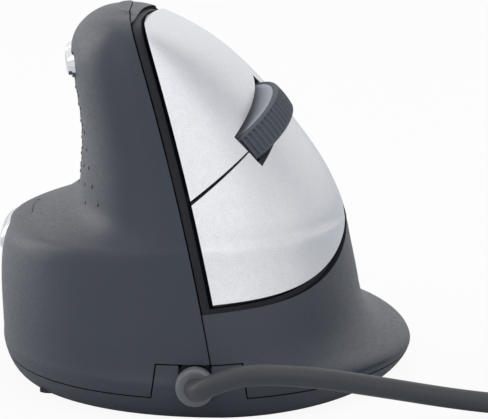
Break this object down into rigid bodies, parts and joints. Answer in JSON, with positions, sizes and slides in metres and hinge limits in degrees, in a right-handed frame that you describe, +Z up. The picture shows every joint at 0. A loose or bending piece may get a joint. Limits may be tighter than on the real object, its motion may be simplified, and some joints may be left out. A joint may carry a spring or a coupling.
{
  "type": "vertical mouse",
  "caption": "Left-handed vertical computer mouse with hinged silver keys, a sprung scroll wheel, thumb buttons, a thumb rest and a coiled USB cord.",
  "frame": {"origin": "on the desk under the middle of the body's box, without the cord and its relief", "axes": "+X to the finger side with the keys, -X to the thumb side, -Y to the front where the cord leaves, +Y to the heel, +Z up"},
  "size_m": [0.1614, 0.1418, 0.0723],
  "materials": {
    "black_shell": "soft matt black moulding",
    "silver_key": "silver metallic paint",
    "dark_frame": "gloss black",
    "chrome": "bright chrome plating",
    "rubber": "dark grey rubber",
    "grey_hub": "light grey moulding",
    "natural_plastic": "white moulding",
    "circuit_board": "green solder mask",
    "chip_black": "black moulded case",
    "clear_lens": "clear moulding",
    "steel": "bright steel",
    "cord_jacket": "dark grey flexible jacket",
    "glide": "slippery black polymer",
    "contact_gold": "gold-plated contacts",
    "ribbon_grey": "grey ribbon"
  },
  "bodies": {
    "housing": {"base_plate": "black_shell", "thumb_shell": "black_shell", "finger_shell": "black_shell", "key_frame": "dark_frame", "key_hinge_rod": "steel", "finger_board": "circuit_board", "index_switch": "chip_black", "middle_switch": "chip_black", "wheel_switch": "chip_black", "thumb_board": "circuit_board", "thumb_switches": "chip_black", "thumb_trim": "chrome", "main_board": "circuit_board", "optical_sensor": "chip_black", "sensor_lens": "clear_lens", "sensor_led": "clear_lens", "controller_chip": "chip_black", "small_components": "steel", "board_headers": "natural_plastic", "finger_header": "natural_plastic", "thumb_header": "natural_plastic", "finger_ribbon": "ribbon_grey", "thumb_ribbon": "ribbon_grey", "strain_relief": "cord_jacket", "inner_lead": "cord_jacket", "cord": "cord_jacket", "cord_coil": "cord_jacket", "cord_tail": "cord_jacket", "usb_overmould": "cord_jacket", "usb_shell": "steel", "usb_tongue": "natural_plastic", "usb_contacts": "contact_gold", "glide_feet": "glide", "base_screws": "steel", "board_screws": "steel"},
    "index_key": {"index_key": "silver_key"},
    "middle_key": {"middle_key": "silver_key"},
    "index_plunger": {"index_plunger": "natural_plastic"},
    "middle_plunger": {"middle_plunger": "natural_plastic"},
    "wheel_carrier": {"wheel_carrier": "natural_plastic", "wheel_encoder": "chip_black"},
    "wheel": {"wheel_tyre": "rubber", "wheel_hub": "grey_hub", "wheel_axle": "steel"},
    "wheel_plunger": {"wheel_plunger": "natural_plastic"},
    "forward_button": {"forward_button": "chrome"},
    "back_button": {"back_button": "chrome"},
    "forward_plunger": {"forward_plunger": "natural_plastic"},
    "back_plunger": {"back_plunger": "natural_plastic"}
  },
  "joints": [
    {"name": "index_key_press", "type": "hinge", "parent": "housing", "child": "index_key", "pos_m": [0.02086, -0.01217, 0.03153], "axis": [0.6109, -0.4076, -0.6787], "range_deg": [0, 0.7], "stiffness_Nm_per_rad": 1.4, "springref_deg": -0.69},
    {"name": "middle_key_press", "type": "hinge", "parent": "housing", "child": "middle_key", "pos_m": [0.02086, -0.01217, 0.03153], "axis": [0.6109, -0.4076, -0.6787], "range_deg": [0, 0.7], "stiffness_Nm_per_rad": 1.4, "springref_deg": -0.69},
    {"name": "wheel_press", "type": "slide", "parent": "housing", "child": "wheel_carrier", "axis": [-0.7507, 0.5008, -0.4308], "range_m": [0, 0.00045], "stiffness_N_per_m": 800, "springref_m": -0.0008},
    {"name": "wheel_spin", "type": "hinge", "parent": "wheel_carrier", "child": "wheel", "pos_m": [0.00641, -0.02956, 0.0492], "axis": [-0.593, -0.2235, 0.7735], "continuous": true},
    {"name": "forward_button_press", "type": "slide", "parent": "housing", "child": "forward_button", "axis": [1, 0, 0], "range_m": [0, 0.0005], "stiffness_N_per_m": 900, "springref_m": -0.0006},
    {"name": "back_button_press", "type": "slide", "parent": "housing", "child": "back_button", "axis": [1, 0, 0], "range_m": [0, 0.0005], "stiffness_N_per_m": 900, "springref_m": -0.0006},
    {"name": "index_plunger_slide", "type": "slide", "parent": "housing", "child": "index_plunger", "axis": [-0.7507, 0.5008, -0.4308], "range_m": [0, 0.0005]},
    {"name": "middle_plunger_slide", "type": "slide", "parent": "housing", "child": "middle_plunger", "axis": [-0.7507, 0.5008, -0.4308], "range_m": [0, 0.0005]},
    {"name": "wheel_plunger_slide", "type": "slide", "parent": "housing", "child": "wheel_plunger", "axis": [-0.7507, 0.5008, -0.4308], "range_m": [0, 0.0005]},
    {"name": "forward_plunger_slide", "type": "slide", "parent": "housing", "child": "forward_plunger", "axis": [1, 0, 0], "range_m": [0, 0.00052]},
    {"name": "back_plunger_slide", "type": "slide", "parent": "housing", "child": "back_plunger", "axis": [1, 0, 0], "range_m": [0, 0.00052]}
  ],
  "couplings": [
    {"joint": "index_plunger_slide", "follows": "index_key_press", "m_per_rad": 0.03387},
    {"joint": "middle_plunger_slide", "follows": "middle_key_press", "m_per_rad": 0.03387},
    {"joint": "wheel_plunger_slide", "follows": "wheel_press", "ratio": 1},
    {"joint": "forward_plunger_slide", "follows": "forward_button_press", "ratio": 1},
    {"joint": "back_plunger_slide", "follows": "back_button_press", "ratio": 1}
  ]
}
